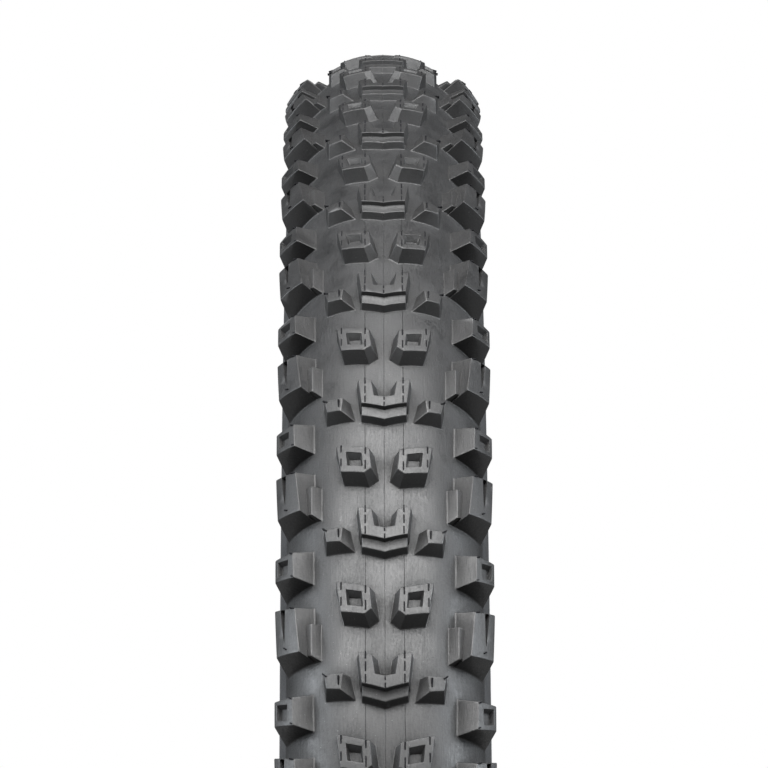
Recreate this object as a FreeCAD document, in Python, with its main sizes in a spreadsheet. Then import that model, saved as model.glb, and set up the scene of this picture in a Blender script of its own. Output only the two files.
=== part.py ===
"""Off-road bicycle tyre, 61-622, as an assembly of its real layers and tread blocks.

Frame: origin at the wheel's centre, +Y along the axle, +Z up, +X the rolling direction.
A profile sketch lies in the YZ plane: its first coordinate is the distance across the
tyre and its second is the radius. A layer is that profile turned once about the Y axis.

A tread block is drawn once, at the top of the wheel, in its own tangent frame: "x" runs
forward, "v" runs outward across the tyre, and "level" is the distance from the centre of
the tube-shaped base surface. The block leans outward from the crown by its lean angle.
It is drawn a little deeper than it is, trimmed by the base surface, and repeated round
the tyre once per pitch.
"""

import FreeCAD, Part
import math
import os
import re

import Sketcher

SIZES = {
    # rim interface
    "bead_seat_radius": (311.0, "half of the 622 mm bead seat"),
    "rim_half_width": (15.0, "half of the rim's inner width"),
    "seat_inner_edge": (9.6, "bead toe, across"),
    "heel_radius": (0.8, "rounding at the bead heel"),
    "flange_round": (2.5, "hollow that clears the rim flange"),
    # base surface
    "base_centre_radius": (336.4, "centre of the base surface's tube"),
    "base_tube_radius": (29.6, "tube radius of the base surface"),
    # casing layers, as tube radii about their own centre
    "casing_centre_radius": (335.2, "centre of the casing's tube"),
    "side_shift": (11.0, "how far the lower side arc's centre is shifted across"),
    "liner_inside": (27.2, "air side of the liner"),
    "liner_outside": (27.7, "liner to first ply"),
    "first_ply_outside": (28.15, "first ply to second ply"),
    "second_ply_outside": (28.6, "second ply to belt"),
    "belt_outside": (29.0, "belt to tread rubber"),
    "belt_edge_radius": (352.9, "height at which the belt ends"),
    "belt_gap": (0.3, "gap between belt and sidewall fabric"),
    "tread_edge_radius": (346.5, "height at which tread rubber meets sidewall rubber"),
    # bead
    "core_radius": (1.5, "aramid bead core"),
    "chafer_thickness": (0.7, "rubber under and outside the bead"),
    "hook_end_angle": (60.0, "where the plies end after turning round the core"),
    "liner_end_angle": (150.0, "where the liner meets the chafer"),
    "toe_angle": (200.0, "where the chafer's inner wall leaves the bead's curve"),
    # tread pattern
    "pitch_count": (48, "pattern repeats round the tyre"),
    "pattern_lead": (1.059, "degrees that the pattern is turned forward"),
    "crown_radius": (370.0, "outer radius of the tyre"),
    "trim_depth": (1.0, "how far a block is drawn past its trimming surfaces"),
    # chevron block, measured back from the tip of its front ledge
    "ledge_height": (2.35, "height of the front ledge"),
    "ledge_corner_back": (2.15, "ledge's front corners"),
    "ledge_corner_half": (6.4, "half width of the ledge"),
    "ledge_foot": (1.1, "how far the ledge's front wall slopes out"),
    "ledge_tail_back": (6.5, "where the ledge ends inside the block"),
    "block_height": (4.0, "height of the chevron and square blocks"),
    "chevron_tip_back": (3.3, "tip of the block's top"),
    "chevron_corner_back": (5.4, "front corners of the top"),
    "chevron_front_half": (6.5, "half width in front"),
    "chevron_rear_half": (7.5, "half width behind"),
    "chevron_rear_back": (15.0, "rear outer corners"),
    "chevron_arm_back": (13.8, "rear inner corners"),
    "notch_rear_half": (3.65, "half width of the notch at its mouth"),
    "notch_front_half": (2.9, "half width of the notch at its end"),
    "notch_corner_back": (8.0, "corners of the notch's end"),
    "notch_tip_back": (7.3, "point of the notch's end"),
    "wall_foot": (0.35, "slope of an ordinary wall"),
    "chevron_front_foot": (0.8, "slope of the block's front wall"),
    "notch_foot": (1.6, "slope of the notch's side walls"),
    "notch_end_foot": (0.9, "slope of the notch's end wall"),
    # square blocks
    "square_ahead": (16.0, "arc ahead of the chevron's ledge"),
    "square_lean": (16.0, "degrees"),
    "square_rear_outer_x": (6.3, ""),
    "square_rear_inner_x": (3.2, ""),
    "square_front_inner_x": (4.0, ""),
    "square_nose_x": (5.6, ""),
    "square_front_outer_x": (3.8, ""),
    "square_rear_outer_v": (4.7, ""),
    "square_rear_inner_v": (5.05, ""),
    "square_front_inner_v": (5.6, ""),
    "square_nose_v": (3.6, ""),
    "square_front_outer_v": (3.3, ""),
    "square_ramp": (2.25, "slope of the leading wall"),
    "square_outer_foot": (1.2, "slope of the outer wall"),
    "square_inner_foot": (1.5, "slope of the inner wall"),
    "square_pocket_front": (3.2, "pocket's front edge"),
    "square_pocket_rear": (2.4, "pocket's rear edge"),
    "square_pocket_inner": (3.05, "pocket's inner edge"),
    "square_pocket_outer": (1.6, "pocket's outer edge"),
    "square_pocket_slant": (0.6, "how far the pocket's ends slant"),
    "square_pocket_depth": (1.6, ""),
    "square_pocket_foot": (0.8, "slope of the pocket's walls"),
    # transition blocks
    "transition_behind": (7.0, "arc behind the chevron's ledge"),
    "transition_lean": (26.0, "degrees"),
    "transition_height": (3.45, ""),
    "transition_rear_outer_x": (2.8, ""),
    "transition_rear_inner_x": (1.7, ""),
    "transition_front_inner_x": (2.85, ""),
    "transition_front_outer_x": (1.7, ""),
    "transition_outer_v": (3.0, ""),
    "transition_front_outer_v": (2.1, ""),
    "transition_inner_v": (2.9, ""),
    "transition_ramp": (2.3, "slope of the leading wall"),
    "transition_outer_foot": (1.85, "slope of the outer wall"),
    "transition_inner_foot": (1.15, "slope of the inner wall"),
    # shoulder blocks: both kinds
    "shoulder_lean": (52.5, "degrees"),
    "shoulder_height": (5.9, ""),
    "shoulder_root_depth": (5.6, "how far below the base their drawn root lies"),
    "shoulder_outer_v": (4.9, "outer edge of the top"),
    "shoulder_outer_foot": (6.4, "slope of the outer wall, down the side"),
    "shoulder_inner_foot": (0.8, "slope of the inner wall"),
    # hollow shoulder block
    "hollow_behind": (1.0, "arc behind the chevron's ledge"),
    "hollow_rear_outer_x": (5.2, ""),
    "hollow_rear_inner_x": (3.4, ""),
    "hollow_front_inner_x": (5.4, ""),
    "hollow_front_outer_x": (2.5, ""),
    "hollow_inner_v": (3.8, ""),
    "hollow_rear_foot": (0.5, "slope of the rear wall, outside"),
    "hollow_rear_inner_foot": (1.9, "slope of the rear wall, inside"),
    "hollow_front_foot": (2.3, "slope of the front wall, outside"),
    "hollow_front_inner_foot": (0.8, "slope of the front wall, inside"),
    "pocket_rear_x": (2.7, ""),
    "pocket_front_x": (2.0, ""),
    "pocket_slant": (0.8, "how far the pocket's ends slant"),
    "pocket_inner_v": (1.3, ""),
    "pocket_outer_v": (2.7, ""),
    "pocket_depth": (2.0, ""),
    "pocket_foot": (0.35, ""),
    # long shoulder block
    "long_behind": (27.0, "arc behind the chevron's ledge"),
    "long_rear_outer_x": (9.5, ""),
    "long_rear_inner_x": (6.2, ""),
    "long_front_inner_x": (8.8, ""),
    "long_front_outer_x": (6.2, ""),
    "long_inner_rear_v": (4.5, ""),
    "long_inner_front_v": (6.3, ""),
    "long_front_outer_v": (2.9, ""),
    "long_front_foot": (2.8, "slope of the front wall, outside"),
    "long_front_inner_foot": (1.4, "slope of the front wall, inside"),
    "long_rear_foot": (0.7, "slope of the rear wall, outside"),
    "long_rear_inner_foot": (1.4, "slope of the rear wall, inside"),
    "slit_mouth_back": (10.5, "sipe, past the block's rear wall"),
    "slit_mouth_half": (1.25, ""),
    "slit_tip_x": (4.7, ""),
    "slit_depth": (2.5, ""),
    "step_lean": (42.0, "degrees"),
    "step_height": (2.9, ""),
    "step_rear_x": (1.1, ""),
    "step_front_x": (9.6, ""),
    "step_inner_v": (1.5, ""),
    "step_outer_v": (4.0, "inside the block"),
    "step_inner_foot": (1.2, "slope of the step's inner wall"),
    "step_end_foot": (0.3, "slope of the step's end walls"),
}

KNOWN_WORDS = ("sqrt", "sin", "cos", "atan", "acos", "deg", "rad")

doc = FreeCAD.newDocument("bicycle_tyre")
sheet = doc.addObject("Spreadsheet::Sheet", "Sizes")


def fill_sheet():
    """Write every driving dimension with its alias and its note."""
    for row, (alias, (value, note)) in enumerate(SIZES.items(), start=1):
        sheet.set(f"A{row}", alias)
        sheet.set(f"B{row}", str(value))
        sheet.setAlias(f"B{row}", alias)
        sheet.set(f"C{row}", note)
    doc.recompute()


def bound(text):
    """Turn aliases in an expression into references to the sheet."""

    def reference(match):
        word = match.group(0)
        return word if word in KNOWN_WORDS else "Sizes." + word

    return re.sub(r"[a-z_]+", reference, text)


def value_of(text):
    """Work out an expression of aliases as a plain number."""
    result = sheet.evalExpression(bound(text))
    return float(getattr(result, "Value", result))


def origin_part(body, role):
    return next(f for f in body.Origin.OriginFeatures if f.Role == role)


def new_body(label):
    body = doc.addObject("PartDesign::Body", label)
    body.Label = label
    return body


def new_sketch(body, name, role):
    sketch = body.newObject("Sketcher::SketchObject", name)
    sketch.AttachmentSupport = [(origin_part(body, role), "")]
    sketch.MapMode = "FlatFace"
    return sketch


def drive(sketch, constraint, text):
    """Add a dimension and tie it to the sheet."""
    index = sketch.addConstraint(Sketcher.Constraint(*constraint, value_of(text)))
    sketch.setExpression(f"Constraints[{index}]", bound(text))


def pin(sketch, geometry, position, across, up):
    """Fix a point's two coordinates; None puts it on the sketch's own axis."""
    for text, kind, axis in ((across, "DistanceX", -2), (up, "DistanceY", -1)):
        if text is None:
            sketch.addConstraint(Sketcher.Constraint("PointOnObject", geometry, position, axis))
        else:
            drive(sketch, (kind, -1, 1, geometry, position), text)


def polar(centre, radius, angle):
    """A point on a circle, in the profile's plane."""
    turned = math.radians(angle)
    return (centre[0] + radius * math.cos(turned), centre[1] + radius * math.sin(turned), 0)


def numbers(centre):
    """A centre's coordinates as plain numbers, with 0 for None."""
    return tuple(0.0 if text is None else value_of(text) for text in centre) + (0.0,)


class Arc:
    """An arc of a profile, run from its first angle to its last, in degrees.

    An arc that its neighbours already place or size is left loose or unsized. Where it
    starts or stops at a corner, start or stop is the expression of that angle.
    """

    def __init__(
        self, centre, radius, first, last, loose=False, sized=True, start=None, stop=None
    ):
        self.centre = centre
        self.radius = radius
        self.loose = loose
        self.sized = sized
        self.start = start
        self.stop = stop
        self.middle = numbers(centre)
        size = value_of(radius)
        self.first = polar(self.middle, size, first)
        self.last = polar(self.middle, size, last)
        self.low, self.high = sorted((first, last))
        self.ends = (1, 2) if last > first else (2, 1)

    def shape(self):
        middle = FreeCAD.Vector(*self.middle)
        circle = Part.Circle(middle, FreeCAD.Vector(0, 0, 1), value_of(self.radius))
        return Part.ArcOfCircle(circle, math.radians(self.low), math.radians(self.high))

    def hold(self, sketch, index):
        if not self.loose:
            pin(sketch, index, 3, *self.centre)
        if self.sized:
            drive(sketch, ("Radius", index), self.radius)
        for angle, end in zip((self.start, self.stop), self.ends):
            if angle:
                place = f"{self.centre[0]} + {self.radius} * cos({angle})"
                drive(sketch, ("DistanceX", -1, 1, index, end), place)


class Line:
    """A straight part of a profile, from its neighbour's end to its corner.

    Without a corner it ends where its next neighbour begins.
    """

    ends = (1, 2)

    def __init__(self, corner=None, along=None, height=None):
        self.corner = corner
        self.along = along
        self.height = height

    def shape(self):
        return Part.LineSegment(FreeCAD.Vector(*self.first), FreeCAD.Vector(*self.last))

    def hold(self, sketch, index):
        if self.along:
            sketch.addConstraint(Sketcher.Constraint(self.along, index))
        if self.height:
            drive(sketch, ("DistanceY", -1, 1, index, 2), self.height)
        for text, kind in zip(self.corner or (), ("DistanceX", "DistanceY")):
            if text:
                drive(sketch, (kind, -1, 1, index, 2), text)


SMOOTH = "Tangent"
CORNER = "Coincident"


def outline(sketch, steps):
    """Draw a closed profile from pieces, each with the kind of joint that follows it."""
    pieces = [piece for piece, _ in steps]
    for index, piece in enumerate(pieces):
        if isinstance(piece, Line):
            piece.first = pieces[index - 1].last
            if piece.corner:
                piece.last = numbers(piece.corner)
            else:
                piece.last = pieces[(index + 1) % len(pieces)].first
        sketch.addGeometry(piece.shape())
    for index, (piece, joint) in enumerate(steps):
        following = (index + 1) % len(pieces)
        start = pieces[following].ends[0]
        sketch.addConstraint(
            Sketcher.Constraint(joint, index, piece.ends[1], following, start)
        )
    for index, piece in enumerate(pieces):
        piece.hold(sketch, index)
    doc.recompute()
    if sketch.solve() != 0:
        raise RuntimeError(f"{sketch.Label} does not solve")


def turn(body, sketch, name, kind="PartDesign::Revolution", angle=360):
    """Turn a profile about the axle, as a solid or as a cut."""
    feature = body.newObject(kind, name)
    feature.Profile = sketch
    feature.ReferenceAxis = (sketch, ["H_Axis"])
    feature.Angle = angle
    doc.recompute()
    return feature


def double(body, name, role):
    """Join the body as it is so far with its mirror image in one of its planes."""
    feature = body.newObject("PartDesign::Mirrored", name)
    feature.TransformMode = "Whole shape"
    feature.MirrorPlane = (origin_part(body, role), [""])
    feature.Refine = False
    body.Tip = feature
    doc.recompute()


def turned_part(label, steps):
    """A ring made of two half turns of one profile."""
    body = new_body(label)
    sketch = new_sketch(body, label + "_profile", "YZ_Plane")
    outline(sketch, steps)
    turn(body, sketch, label + "_half", angle=180)
    double(body, label + "_ring", "YZ_Plane")
    return body


def mirror_part(source, label):
    """The same part on the other side of the tyre."""
    mirrored = doc.addObject("Part::Mirroring", label)
    mirrored.Label = label
    mirrored.Source = source
    mirrored.Normal = FreeCAD.Vector(0, 1, 0)
    doc.recompute()
    return mirrored


def both_sides(stem, right):
    return {stem + "_right": right, stem + "_left": mirror_part(right, stem + "_left")}


# ---------------------------------------------------------------- casing and rubber

CASING = (None, "casing_centre_radius")
SIDE = ("side_shift", "casing_centre_radius")
BASE = (None, "base_centre_radius")
WRAP = "(core_radius + second_ply_outside - liner_outside)"
BEAD = (
    f"rim_half_width - chafer_thickness - {WRAP}",
    f"bead_seat_radius + chafer_thickness + {WRAP}",
)
FLANGE_ACROSS = "(rim_half_width + flange_round)"
FLANGE_REACH = "(base_tube_radius - side_shift + flange_round)"
FLANGE = (
    FLANGE_ACROSS,
    f"casing_centre_radius - sqrt({FLANGE_REACH}^2 - ({FLANGE_ACROSS} - side_shift)^2)",
)
BEAD_DROP = f"(casing_centre_radius - ({BEAD[1]}))"
BEAD_SHIFT = f"({BEAD[0]} - side_shift)"
NECK_REACH = "(second_ply_outside - side_shift + core_radius)"
# the plies leave the side arc here and run straight to touch the bead core's far side
NECK = (
    f"(acos({NECK_REACH} / sqrt({BEAD_DROP}^2 + {BEAD_SHIFT}^2))"
    f" - 90 deg + atan({BEAD_SHIFT} / {BEAD_DROP}))"
)


def side_radius(tube):
    return f"({tube} - side_shift)"


def casing_layer(label, inside, outside, hook_inside, hook_outside, hook_end):
    """A layer that runs from bead to bead and turns round each bead core.

    Half of the profile is drawn from the crown to the end of the hook, and mirrored.
    """
    neck = value_of(NECK)
    behind = neck + 180
    end = value_of(hook_end)
    body = new_body(label)
    sketch = new_sketch(body, label + "_profile", "YZ_Plane")
    turned_end = end if end > behind else end + 360
    outline(
        sketch,
        [
            (Arc(CASING, outside, 90, 0), SMOOTH),
            (Arc(SIDE, side_radius(outside), 0, neck, sized=False), SMOOTH),
            (Line(), SMOOTH),
            (Arc(BEAD, hook_inside, behind, turned_end, stop=hook_end), CORNER),
            (Line(), CORNER),
            (Arc(BEAD, hook_outside, turned_end, behind, start=hook_end), SMOOTH),
            (Line(), SMOOTH),
            (Arc(SIDE, side_radius(inside), neck, 0, sized=False), SMOOTH),
            (Arc(CASING, inside, 0, 90), CORNER),
            (Line(along="Vertical"), CORNER),
        ],
    )
    sketch.addConstraint(Sketcher.Constraint("PointOnObject", 0, 2, -2))
    turn(body, sketch, label + "_quarter", angle=180)
    double(body, label + "_half", "XZ_Plane")
    double(body, label + "_ring", "YZ_Plane")
    return body


def across_at(tube, centre, height):
    """Angle at which a tube of this radius reaches a given distance from the axle."""
    rise = value_of(height) - value_of(centre[1])
    return math.degrees(math.asin(rise / value_of(tube)))


def make_casing():
    """The liner and the two plies."""
    first_wrap = "(core_radius + second_ply_outside - first_ply_outside)"
    liner_wrap = f"({WRAP} + liner_outside - liner_inside)"
    return {
        "inner_liner": casing_layer(
            "inner_liner",
            "liner_inside",
            "liner_outside",
            WRAP,
            liner_wrap,
            "liner_end_angle * 1 deg",
        ),
        "casing_ply_inner": casing_layer(
            "casing_ply_inner",
            "liner_outside",
            "first_ply_outside",
            first_wrap,
            WRAP,
            "hook_end_angle * 1 deg",
        ),
        "casing_ply_outer": casing_layer(
            "casing_ply_outer",
            "first_ply_outside",
            "second_ply_outside",
            "core_radius",
            first_wrap,
            "hook_end_angle * 1 deg",
        ),
    }


def crown_layer(label, centre, outside, inside, height):
    """A layer over the crown, cut off at one distance from the axle."""
    outer = across_at(outside, centre, height)
    inner = across_at(inside, CASING, height)
    return turned_part(
        label,
        [
            (Arc(centre, outside, outer, 180 - outer), CORNER),
            (Line(along="Horizontal", height=height), CORNER),
            (Arc(CASING, inside, 180 - inner, inner), CORNER),
            (Line(along="Horizontal", height=height), CORNER),
        ],
    )


def make_crown():
    """The belt under the tread and the tread's base rubber."""
    return {
        "breaker_belt": crown_layer(
            "breaker_belt", CASING, "belt_outside", "second_ply_outside", "belt_edge_radius"
        ),
        "tread_base": crown_layer(
            "tread_base", BASE, "base_tube_radius", "belt_outside", "tread_edge_radius"
        ),
    }


def make_sides():
    """The fabric strip and the rubber on each side, from the crown layers to the bead."""
    neck = value_of(NECK)
    strip_top = "(belt_edge_radius - belt_gap)"
    strip_outer = across_at("belt_outside", CASING, strip_top)
    strip_inner = across_at("second_ply_outside", CASING, strip_top)
    outer_side = side_radius("belt_outside")
    ply_side = side_radius("second_ply_outside")
    strip = turned_part(
        "sidewall_protection_right",
        [
            (Arc(CASING, "belt_outside", strip_outer, 0), SMOOTH),
            (Arc(SIDE, outer_side, 0, neck, sized=False, stop=NECK), CORNER),
            (Line(), CORNER),
            (Arc(SIDE, ply_side, neck, 0, sized=False, start=NECK), SMOOTH),
            (Arc(CASING, "second_ply_outside", 0, strip_inner), CORNER),
            (Line(along="Horizontal", height=strip_top), CORNER),
        ],
    )
    edge = "tread_edge_radius"
    skin_side = side_radius("base_tube_radius")
    rubber_outer = across_at("base_tube_radius", BASE, edge)
    rubber_inner = across_at("belt_outside", CASING, edge)
    rubber = turned_part(
        "sidewall_rubber_right",
        [
            (Arc(BASE, "base_tube_radius", rubber_outer, 0), SMOOTH),
            (Line(along="Vertical"), SMOOTH),
            (Arc(SIDE, skin_side, 0, neck, sized=False, stop=NECK), CORNER),
            (Line(), CORNER),
            (Arc(SIDE, outer_side, neck, 0, sized=False, start=NECK), SMOOTH),
            (Arc(CASING, "belt_outside", 0, rubber_inner), CORNER),
            (Line(along="Horizontal", height=edge), CORNER),
        ],
    )
    return both_sides("sidewall_protection", strip) | both_sides("sidewall_rubber", rubber)


def named_angle(alias):
    """An angle of the sheet, as an expression and as a plain number of degrees."""
    return f"{alias} * 1 deg", value_of(alias)


def make_beads():
    """Core, filler and chafer of each bead."""
    neck = value_of(NECK)
    behind = neck + 180
    hook_stop, hook_end = named_angle("hook_end_angle")
    liner_stop, liner_end = named_angle("liner_end_angle")
    toe_stop, toe = named_angle("toe_angle")
    core = new_body("bead_core_right")
    section = new_sketch(core, "bead_core_right_profile", "YZ_Plane")
    middle = FreeCAD.Vector(*numbers(BEAD))
    section.addGeometry(Part.Circle(middle, FreeCAD.Vector(0, 0, 1), value_of("core_radius")))
    drive(section, ("Radius", 0), "core_radius")
    pin(section, 0, 3, *BEAD)
    turn(core, section, "bead_core_right_ring")

    wall = "(rim_half_width - chafer_thickness)"
    run = f"(({wall} - side_shift) * cos({NECK}) - {side_radius('second_ply_outside')})"
    meeting = (wall, f"casing_centre_radius + {run} / sin(0 deg - {NECK})")
    filler = turned_part(
        "bead_filler_right",
        [
            (Arc(BEAD, "core_radius", hook_end, behind, start=hook_stop), SMOOTH),
            (Line(corner=meeting), CORNER),
            (Line(along="Vertical"), SMOOTH),
            (Arc(BEAD, WRAP, 0, hook_end, sized=False, stop=hook_stop), CORNER),
            (Line(), CORNER),
        ],
    )
    side = numbers(SIDE)
    flange = numbers(FLANGE)
    facing = math.degrees(math.atan2(flange[1] - side[1], flange[0] - side[0]))
    neck_point = (
        f"side_shift + {side_radius('second_ply_outside')} * cos({NECK})",
        f"casing_centre_radius + {side_radius('second_ply_outside')} * sin({NECK})",
    )
    heel = ("rim_half_width - heel_radius", "bead_seat_radius + heel_radius")
    skin = f"({WRAP} + chafer_thickness)"
    skin_side = side_radius("base_tube_radius")
    chafer = turned_part(
        "chafer_right",
        [
            (Arc(SIDE, skin_side, neck, facing, start=NECK), SMOOTH),
            (Arc(FLANGE, "flange_round", facing + 180, 180, sized=False), SMOOTH),
            (Line(along="Vertical"), SMOOTH),
            (Arc(heel, "heel_radius", 360, 270, loose=True), SMOOTH),
            (Line(corner=("seat_inner_edge", "bead_seat_radius"), along="Horizontal"), CORNER),
            (Line(), CORNER),
            (Arc(BEAD, skin, toe, liner_end, start=toe_stop, stop=liner_stop), CORNER),
            (Line(), CORNER),
            (Arc(BEAD, WRAP, liner_end, 360, sized=False, start=liner_stop), SMOOTH),
            (Line(corner=meeting, along="Vertical"), CORNER),
            (Line(corner=neck_point), CORNER),
            (Line(), CORNER),
        ],
    )
    return (
        both_sides("bead_core", core)
        | both_sides("bead_filler", filler)
        | both_sides("chafer", chafer)
    )


# ---------------------------------------------------------------- tread blocks


def shifted(corners, share):
    """Each corner moved along its foot by a share of it."""
    return [(f"({x}) + ({fx}) * {share}", f"({v}) + ({fv}) * {share}") for x, v, fx, fv in corners]


class Block:
    """One tread block, built at the top of the wheel and repeated round the tyre."""

    def __init__(self, label, behind="0", lean="0"):
        self.label = label
        self.lean = lean
        self.body = new_body(label)
        self.count = 0
        turned = f"pattern_lead * 1 deg - ({behind}) / crown_radius * 1 rad"
        self.body.Placement = FreeCAD.Placement(
            FreeCAD.Vector(), FreeCAD.Rotation(FreeCAD.Vector(0, 1, 0), value_of(turned))
        )
        self.body.setExpression("Placement.Rotation.Angle", bound(turned))

    def name(self, what):
        self.count += 1
        return f"{self.label}_{what}_{self.count}"

    def section(self, level, corners):
        """A polygon on a plane tangent to the tube at a level, leaning with the block."""
        sketch = new_sketch(self.body, self.name("section"), "XY_Plane")
        lean = FreeCAD.Rotation(FreeCAD.Vector(1, 0, 0), -value_of(self.lean))
        reach = lean.multVec(FreeCAD.Vector(0, 0, value_of(level)))
        centre = FreeCAD.Vector(0, 0, value_of("base_centre_radius"))
        sketch.AttachmentOffset = FreeCAD.Placement(centre + reach, lean)
        points = [FreeCAD.Vector(value_of(x), value_of(v), 0) for x, v in corners]
        count = len(points)
        for index in range(count):
            sketch.addGeometry(Part.LineSegment(points[index], points[(index + 1) % count]))
        for index in range(count):
            following = (index + 1) % count
            sketch.addConstraint(Sketcher.Constraint(CORNER, index, 2, following, 1))
        for index, (x, v) in enumerate(corners):
            for kind, text in (("DistanceX", x), ("DistanceY", v)):
                drive(sketch, (kind, -1, 1, index, 1), text)
        return sketch

    def prism(self, height, depth, corners, kind="PartDesign::AdditiveLoft"):
        """Loft between the drawn root and the drawn top.

        Each corner is (x, v, foot x, foot v): its place at the given height and how far
        it has moved when it reaches the base surface.
        """
        root = shifted(corners, f"(1 + {depth} / {height})")
        top = shifted(corners, f"(0 - trim_depth / {height})")
        low = self.section(f"base_tube_radius - {depth}", root)
        high = self.section(f"base_tube_radius + {height} + trim_depth", top)
        loft = self.body.newObject(kind, self.name("loft"))
        loft.Profile = low
        loft.Sections = [high]
        loft.Ruled = True
        doc.recompute()

    def trim(self, height):
        """Cut away what lies under the base surface and above the block's height."""
        sketch = new_sketch(self.body, self.name("trim"), "YZ_Plane")
        middle = FreeCAD.Vector(*numbers(BASE))
        radii = (
            "base_tube_radius",
            f"base_tube_radius + {height}",
            f"base_tube_radius + {height} + 5 * trim_depth + base_tube_radius / 2",
        )
        for index, radius in enumerate(radii):
            circle = Part.Circle(middle, FreeCAD.Vector(0, 0, 1), value_of(radius))
            sketch.addGeometry(circle)
            drive(sketch, ("Radius", index), radius)
            pin(sketch, index, 3, *BASE)
        before = self.body.Shape.Volume
        turn(self.body, sketch, self.name("cut"), "PartDesign::Groove")
        self.check_cut(before)

    def hollow(self, level, depth, corners):
        """Cut a pocket whose walls slope in by each corner's foot."""
        top = shifted(corners, "(0 - 1)")
        floor = shifted(corners, "1")
        high = self.section(f"base_tube_radius + {level} + {depth}", top)
        low = self.section(f"base_tube_radius + {level} - {depth}", floor)
        before = self.body.Shape.Volume
        loft = self.body.newObject("PartDesign::SubtractiveLoft", self.name("pocket"))
        loft.Profile = high
        loft.Sections = [low]
        loft.Ruled = True
        doc.recompute()
        self.check_cut(before)

    def check_cut(self, before):
        if self.body.Shape.Volume > before - 0.5:
            raise RuntimeError(f"{self.label}: a cut removed nothing")

    def repeat(self):
        """Repeat the block once per pitch."""
        ring = self.body.newObject("PartDesign::PolarPattern", self.name("ring"))
        ring.TransformMode = "Whole shape"
        ring.Refine = False
        ring.Axis = (origin_part(self.body, "Y_Axis"), [""])
        ring.Angle = 360
        self.body.Tip = ring
        ring.setExpression("Occurrences", bound("pitch_count"))
        doc.recompute()
        if len(self.body.Shape.Solids) != int(value_of("pitch_count")):
            raise RuntimeError(f"{self.label}: {len(self.body.Shape.Solids)} solids")
        return self.body


def minus(text):
    return f"0 - ({text})"


def mirrored_corners(corners):
    """Complete an outline that begins and ends on the centre line."""
    back = [(x, minus(v), fx, minus(fv)) for x, v, fx, fv in corners if v != "0"]
    return corners + back[::-1]


def make_chevrons():
    block = Block("centre_chevron_blocks")
    ledge = [
        ("0", "0", "ledge_foot", "0"),
        ("0 - ledge_corner_back", "ledge_corner_half", "ledge_foot", "0"),
        ("0 - ledge_tail_back", "ledge_corner_half", "0", "0"),
    ]
    block.prism("ledge_height", "trim_depth", mirrored_corners(ledge))
    block.trim("ledge_height")
    outer = [
        ("0 - chevron_tip_back", "0", "chevron_front_foot", "0"),
        ("0 - chevron_corner_back", "chevron_front_half", "chevron_front_foot", "wall_foot"),
        ("0 - chevron_rear_back", "chevron_rear_half", "0 - wall_foot", "wall_foot"),
        ("0 - chevron_arm_back", "notch_rear_half", "0 - wall_foot", "0 - notch_foot"),
        ("0 - notch_corner_back", "notch_front_half", "0 - notch_end_foot", "0 - notch_foot"),
    ]
    notch_tip = [("0 - notch_tip_back", "0", "0 - notch_end_foot", "0")]
    block.prism("block_height", "trim_depth", mirrored_corners(outer + notch_tip))
    block.trim("block_height")
    return {"centre_chevron_blocks": block.repeat()}


def make_squares():
    block = Block("centre_square_blocks_right", "0 - square_ahead", "square_lean")
    upright = minus("wall_foot")
    ramp = "square_ramp"
    rear_outer = ("0 - square_rear_outer_x", "square_rear_outer_v", upright, "square_outer_foot")
    rear_inner = ("0 - square_rear_inner_x", "0 - square_rear_inner_v", upright, upright)
    inner_foot = minus("square_inner_foot")
    front_inner = ("square_front_inner_x", "0 - square_front_inner_v", ramp, inner_foot)
    nose = ("square_nose_x", "0 - square_nose_v", ramp, "0")
    front_outer = ("square_front_outer_x", "square_front_outer_v", ramp, "0")
    outline = [rear_outer, rear_inner, front_inner, nose, front_outer]
    block.prism("block_height", "trim_depth", outline)
    block.trim("block_height")
    foot = "square_pocket_foot"
    back = minus(foot)
    rear = "0 - square_pocket_rear"
    slant = "square_pocket_slant"
    mouth = [
        (f"{rear} - {slant}", "square_pocket_outer", foot, back),
        (f"{rear} + {slant}", "0 - square_pocket_inner", foot, foot),
        (f"square_pocket_front - {slant}", "0 - square_pocket_inner", back, foot),
        (f"square_pocket_front - 2 * {slant}", "square_pocket_outer", back, back),
    ]
    block.hollow("block_height", "square_pocket_depth", mouth)
    return both_sides("centre_square_blocks", block.repeat())


def make_transitions():
    block = Block("transition_knobs_right", "transition_behind", "transition_lean")
    upright = minus("wall_foot")
    ramp = "transition_ramp"
    outer_foot = "transition_outer_foot"
    inner = ("0 - transition_inner_v", "0 - transition_inner_foot")
    outline = [
        ("0 - transition_rear_outer_x", "transition_outer_v", upright, outer_foot),
        ("0 - transition_rear_inner_x", inner[0], upright, inner[1]),
        ("transition_front_inner_x", inner[0], ramp, inner[1]),
        ("transition_front_outer_x", "transition_front_outer_v", ramp, outer_foot),
    ]
    block.prism("transition_height", "trim_depth", outline)
    block.trim("transition_height")
    return both_sides("transition_knobs", block.repeat())


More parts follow.
